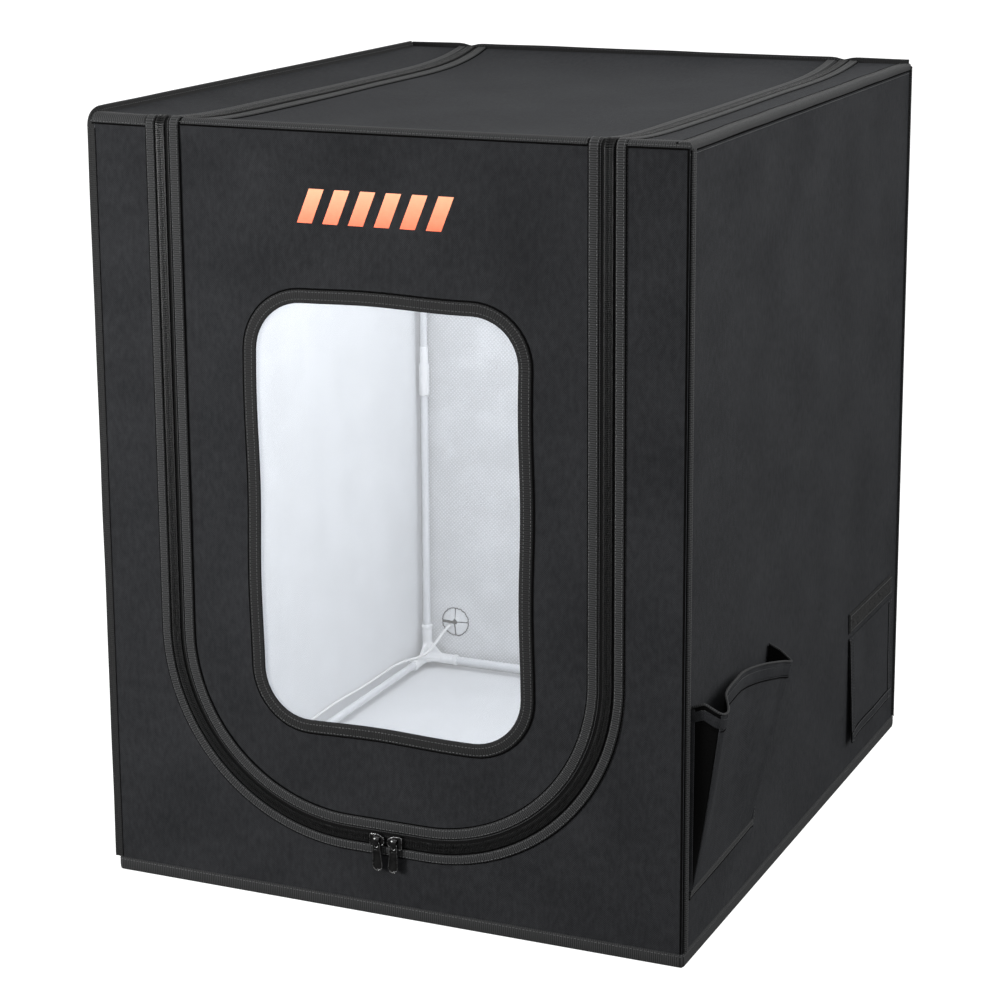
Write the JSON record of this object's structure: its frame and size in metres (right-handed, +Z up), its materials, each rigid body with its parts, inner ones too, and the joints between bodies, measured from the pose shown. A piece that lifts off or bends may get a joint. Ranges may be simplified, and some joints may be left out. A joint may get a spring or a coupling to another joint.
{
  "type": "printer enclosure tent",
  "caption": "Soft black enclosure tent for a desktop 3-D printer: tube frame, zipped door and roof flap with a clear window, side pocket and cable port.",
  "frame": {"origin": "middle of the floor panel's underside, between the four corner seams", "axes": "+Z up, the door faces -Y, and the side pocket is on +X"},
  "size_m": [0.5871, 0.6606, 0.71],
  "materials": {
    "black_cloth": "matte woven polyester outside, silver-white lining inside",
    "grosgrain": "ribbed grosgrain binding tape, matte",
    "clear_film": "clear flexible film, glossy",
    "zip": "woven zip tape with a nylon coil",
    "black_metal": "black enamel, glossy",
    "white_tube": "white coating, satin",
    "white_plastic": "moulded, satin",
    "loop_strip": "fuzzy loop pile, matte",
    "white_cord": "smooth white cord"
  },
  "bodies": {
    "root": {"back_wall": "black_cloth", "bottom_binding": "grosgrain", "bottom_tube_front": "white_tube", "bottom_tube_left": "white_tube", "bottom_tube_rear": "white_tube", "bottom_tube_right": "white_tube", "cable_cover_strip": "loop_strip", "cable_port": "black_cloth", "corner_binding_left": "grosgrain", "corner_binding_right": "grosgrain", "corner_connector_front_left_bottom": "white_plastic", "corner_connector_front_left_top": "white_plastic", "corner_connector_front_right_bottom": "white_plastic", "corner_connector_front_right_top": "white_plastic", "corner_connector_rear_left_bottom": "white_plastic", "corner_connector_rear_left_top": "white_plastic", "corner_connector_rear_right_bottom": "white_plastic", "corner_connector_rear_right_top": "white_plastic", "edge_binding_left": "grosgrain", "edge_binding_right": "grosgrain", "fixed_zip": "zip", "floor_panel": "black_cloth", "front_panel": "black_cloth", "left_wall": "black_cloth", "port_cord": "white_cord", "post_coupler_front_left": "white_plastic", "post_coupler_front_right": "white_plastic", "post_coupler_rear_left": "white_plastic", "post_coupler_rear_right": "white_plastic", "post_lower_front_left": "white_tube", "post_lower_front_right": "white_tube", "post_lower_rear_left": "white_tube", "post_lower_rear_right": "white_tube", "post_upper_front_left": "white_tube", "post_upper_front_right": "white_tube", "post_upper_rear_left": "white_tube", "post_upper_rear_right": "white_tube", "right_wall": "black_cloth", "roof_strip_left": "black_cloth", "roof_strip_right": "black_cloth", "side_pocket": "black_cloth", "top_tube_front": "white_tube", "top_tube_left": "white_tube", "top_tube_rear": "white_tube", "top_tube_right": "white_tube"},
    "roof_flap": {"roof_flap": "black_cloth", "roof_zip_left": "zip", "roof_zip_right": "zip", "rear_top_binding": "grosgrain"},
    "door": {"door_flap": "black_cloth", "window_film": "clear_film", "window_binding": "grosgrain", "door_zip": "zip", "door_top_binding": "grosgrain"},
    "zip_slider_left": {"zip_slider_left": "black_metal"},
    "zip_slider_right": {"zip_slider_right": "black_metal"},
    "pull_tab_left": {"pull_tab_left": "black_metal"},
    "pull_tab_right": {"pull_tab_right": "black_metal"},
    "cable_cover": {"cable_cover": "black_cloth"}
  },
  "joints": [
    {"name": "roof_hinge", "type": "hinge", "parent": "root", "child": "roof_flap", "pos_m": [0, 0.3265, 0.7005], "axis": [-1, 0, 0], "range_deg": [0, 180]},
    {"name": "door_hinge", "type": "hinge", "parent": "roof_flap", "child": "door", "pos_m": [0, -0.324, 0.699], "axis": [-1, 0, 0], "range_deg": [0, 180]},
    {"name": "slider_left_run", "type": "slide", "parent": "door", "child": "zip_slider_left", "axis": [-1, 0, 0], "range_m": [0, 0.022]},
    {"name": "slider_right_run", "type": "slide", "parent": "door", "child": "zip_slider_right", "axis": [1, 0, 0], "range_m": [0, 0.022]},
    {"name": "pull_left_swing", "type": "hinge", "parent": "zip_slider_left", "child": "pull_tab_left", "pos_m": [-0.0085, -0.33125, 0.072], "axis": [-1, 0, 0], "range_deg": [0, 165]},
    {"name": "pull_right_swing", "type": "hinge", "parent": "zip_slider_right", "child": "pull_tab_right", "pos_m": [0.0085, -0.33125, 0.072], "axis": [-1, 0, 0], "range_deg": [0, 165]},
    {"name": "cable_cover_hinge", "type": "hinge", "parent": "root", "child": "cable_cover", "pos_m": [0.2763, 0.2295, 0.149], "axis": [0, -1, 0], "range_deg": [0, 120]}
  ]
}
